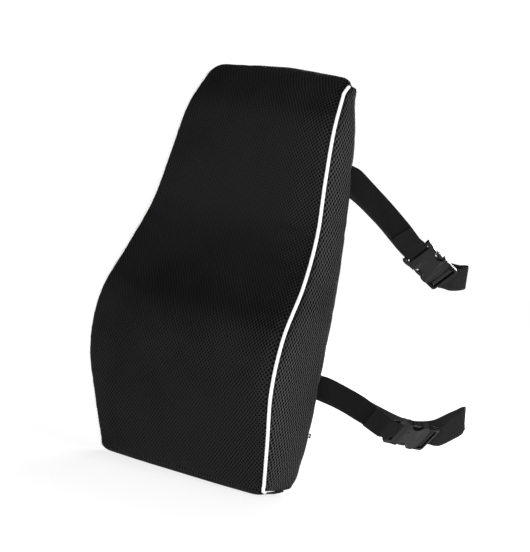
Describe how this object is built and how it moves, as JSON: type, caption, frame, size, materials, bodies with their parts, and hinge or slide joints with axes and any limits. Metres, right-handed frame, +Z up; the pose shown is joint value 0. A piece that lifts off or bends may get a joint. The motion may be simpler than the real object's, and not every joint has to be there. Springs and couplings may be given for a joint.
{
  "type": "lumbar support cushion",
  "caption": "Tall contoured back cushion with a lumbar bulge, zipped mesh cover, contrast piping and buckled webbing loops that hold it to a chair.",
  "frame": {"origin": "middle of the flat base, below the flat back", "axes": "+Z up, -Y towards the sitter, +X to the right as seen from the front"},
  "size_m": [0.383, 0.3587, 0.5134],
  "materials": {
    "foam": "matte",
    "liner": "matte",
    "front_mesh": "matte",
    "side_mesh": "matte",
    "back_mesh": "matte",
    "piping": "satin",
    "zip_tape": "matte",
    "zip_teeth": "satin",
    "zip_metal": "satin",
    "webbing": "satin",
    "buckle": "satin"
  },
  "bodies": {
    "cushion": {"foam_core": "foam", "foam_liner": "liner", "cover_front_panel": "front_mesh", "cover_back_upper": "back_mesh", "cover_back_lower": "back_mesh", "cover_side_right": "side_mesh", "cover_side_left": "side_mesh", "piping_right": "piping", "piping_left": "piping", "zip_tape_upper": "zip_tape", "zip_tape_lower": "zip_tape", "zip_teeth_upper": "zip_teeth", "zip_teeth_lower": "zip_teeth", "zip_stop_left": "zip_metal", "zip_stop_right": "zip_metal"},
    "slider": {"zip_slider": "zip_metal"},
    "pull": {"zip_pull": "zip_metal"},
    "upper_loop": {"upper_webbing_right": "webbing", "upper_webbing_left": "webbing", "upper_buckle_socket": "buckle"},
    "upper_plug": {"upper_buckle_plug": "buckle"},
    "upper_latch_top": {"upper_prong_top": "buckle"},
    "upper_latch_bottom": {"upper_prong_bottom": "buckle"},
    "lower_loop": {"lower_webbing_right": "webbing", "lower_webbing_left": "webbing", "lower_buckle_socket": "buckle"},
    "lower_plug": {"lower_buckle_plug": "buckle"},
    "lower_latch_top": {"lower_prong_top": "buckle"},
    "lower_latch_bottom": {"lower_prong_bottom": "buckle"}
  },
  "joints": [
    {"name": "zip_slide", "type": "slide", "parent": "cushion", "child": "slider", "axis": [-1, 0, 0], "range_m": [0, 0.2]},
    {"name": "zip_pull_flip", "type": "hinge", "parent": "slider", "child": "pull", "pos_m": [0.1, 0.05685, 0.075], "axis": [0, 0, 1], "range_deg": [0, 170]},
    {"name": "upper_loop_swing", "type": "hinge", "parent": "cushion", "child": "upper_loop", "pos_m": [0, 0.0554, 0.395], "axis": [1, 0, 0], "range_deg": [-25, 45], "deforming": ["upper_webbing_right"]},
    {"name": "upper_buckle_release", "type": "slide", "parent": "upper_loop", "child": "upper_plug", "axis": [0.4108, 0.7677, -0.4918], "range_m": [0, 0.03], "deforming": ["upper_webbing_left", "upper_prong_top", "upper_prong_bottom"]},
    {"name": "upper_latch_top_squeeze", "type": "hinge", "parent": "upper_plug", "child": "upper_latch_top", "pos_m": [0.18025, 0.20732, 0.30765], "axis": [0.6064, -0.6329, -0.4813], "range_deg": [0, 8], "stiffness_Nm_per_rad": 0.05},
    {"name": "upper_latch_bottom_squeeze", "type": "hinge", "parent": "upper_plug", "child": "upper_latch_bottom", "pos_m": [0.16445, 0.20499, 0.29082], "axis": [0.6064, -0.6329, -0.4813], "range_deg": [-8, 0], "stiffness_Nm_per_rad": 0.05},
    {"name": "lower_loop_swing", "type": "hinge", "parent": "cushion", "child": "lower_loop", "pos_m": [0, 0.0554, 0.136], "axis": [1, 0, 0], "range_deg": [-30, 40], "deforming": ["lower_webbing_right"]},
    {"name": "lower_buckle_release", "type": "slide", "parent": "lower_loop", "child": "lower_plug", "axis": [0.4192, 0.9033, -0.0908], "range_m": [0, 0.03], "deforming": ["lower_webbing_left", "lower_prong_top", "lower_prong_bottom"]},
    {"name": "lower_latch_top_squeeze", "type": "hinge", "parent": "lower_plug", "child": "lower_latch_top", "pos_m": [0.22712, 0.15516, 0.1063], "axis": [0.6728, -0.3763, -0.637], "range_deg": [0, 8], "stiffness_Nm_per_rad": 0.05},
    {"name": "lower_latch_bottom_squeeze", "type": "hinge", "parent": "lower_plug", "child": "lower_latch_bottom", "pos_m": [0.21297, 0.15994, 0.08854], "axis": [0.6728, -0.3763, -0.637], "range_deg": [-8, 0], "stiffness_Nm_per_rad": 0.05}
  ],
  "couplings": [
    {"joint": "upper_latch_bottom_squeeze", "follows": "upper_latch_top_squeeze", "ratio": -1},
    {"joint": "lower_latch_bottom_squeeze", "follows": "lower_latch_top_squeeze", "ratio": -1}
  ]
}
